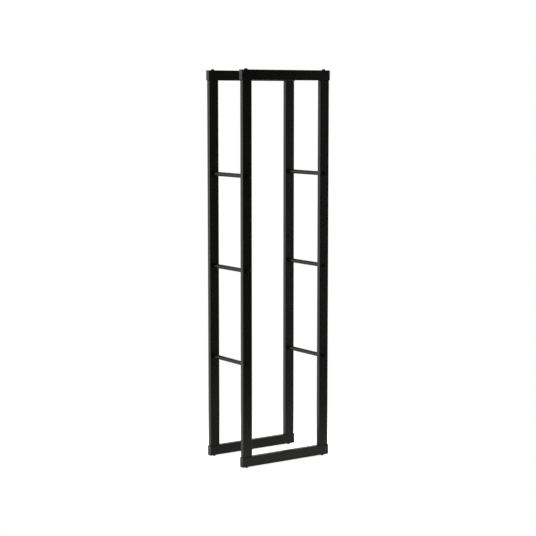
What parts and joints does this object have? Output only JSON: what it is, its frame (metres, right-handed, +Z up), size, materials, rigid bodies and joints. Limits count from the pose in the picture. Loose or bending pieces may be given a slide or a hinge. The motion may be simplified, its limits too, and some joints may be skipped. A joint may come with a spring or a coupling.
{
  "type": "firewood log rack",
  "caption": "Tall free-standing rack for stacking firewood: a front and a rear frame of flat black steel tube, held apart by round rods at both sides.",
  "frame": {"origin": "centre of the footprint, on the plane of the four lower bolt heads that the rack stands on", "axes": "+X to the right along the rails, +Y from the front frame to the rear frame, +Z up"},
  "size_m": [0.4, 0.2578, 1.5],
  "materials": {
    "black_powder_coat": "fine-textured satin black powder coat",
    "black_plastic": "matt black moulded plastic",
    "black_bolt": "black oxide, satin",
    "zinc_steel": "bright zinc plate"
  },
  "bodies": {
    "root": {"front_left_post": "black_powder_coat", "front_right_post": "black_powder_coat", "rear_left_post": "black_powder_coat", "rear_right_post": "black_powder_coat", "front_top_rail": "black_powder_coat", "front_bottom_rail": "black_powder_coat", "rear_top_rail": "black_powder_coat", "rear_bottom_rail": "black_powder_coat", "left_lower_rod": "black_powder_coat", "left_middle_rod": "black_powder_coat", "left_upper_rod": "black_powder_coat", "right_lower_rod": "black_powder_coat", "right_middle_rod": "black_powder_coat", "right_upper_rod": "black_powder_coat", "front_top_left_cap": "black_plastic", "front_top_right_cap": "black_plastic", "front_bottom_left_cap": "black_plastic", "front_bottom_right_cap": "black_plastic", "rear_top_left_cap": "black_plastic", "rear_top_right_cap": "black_plastic", "rear_bottom_left_cap": "black_plastic", "rear_bottom_right_cap": "black_plastic", "front_left_top_plug": "black_plastic", "front_left_bottom_plug": "black_plastic", "front_right_top_plug": "black_plastic", "front_right_bottom_plug": "black_plastic", "rear_left_top_plug": "black_plastic", "rear_left_bottom_plug": "black_plastic", "rear_right_top_plug": "black_plastic", "rear_right_bottom_plug": "black_plastic", "top_rail_bolts": "black_bolt", "bottom_rail_bolts": "black_bolt", "front_rod_bolts": "black_bolt", "rear_rod_bolts": "black_bolt", "top_post_nuts": "zinc_steel", "bottom_post_nuts": "zinc_steel", "front_rod_bushes": "zinc_steel", "rear_rod_bushes": "zinc_steel"}
  },
  "joints": []
}
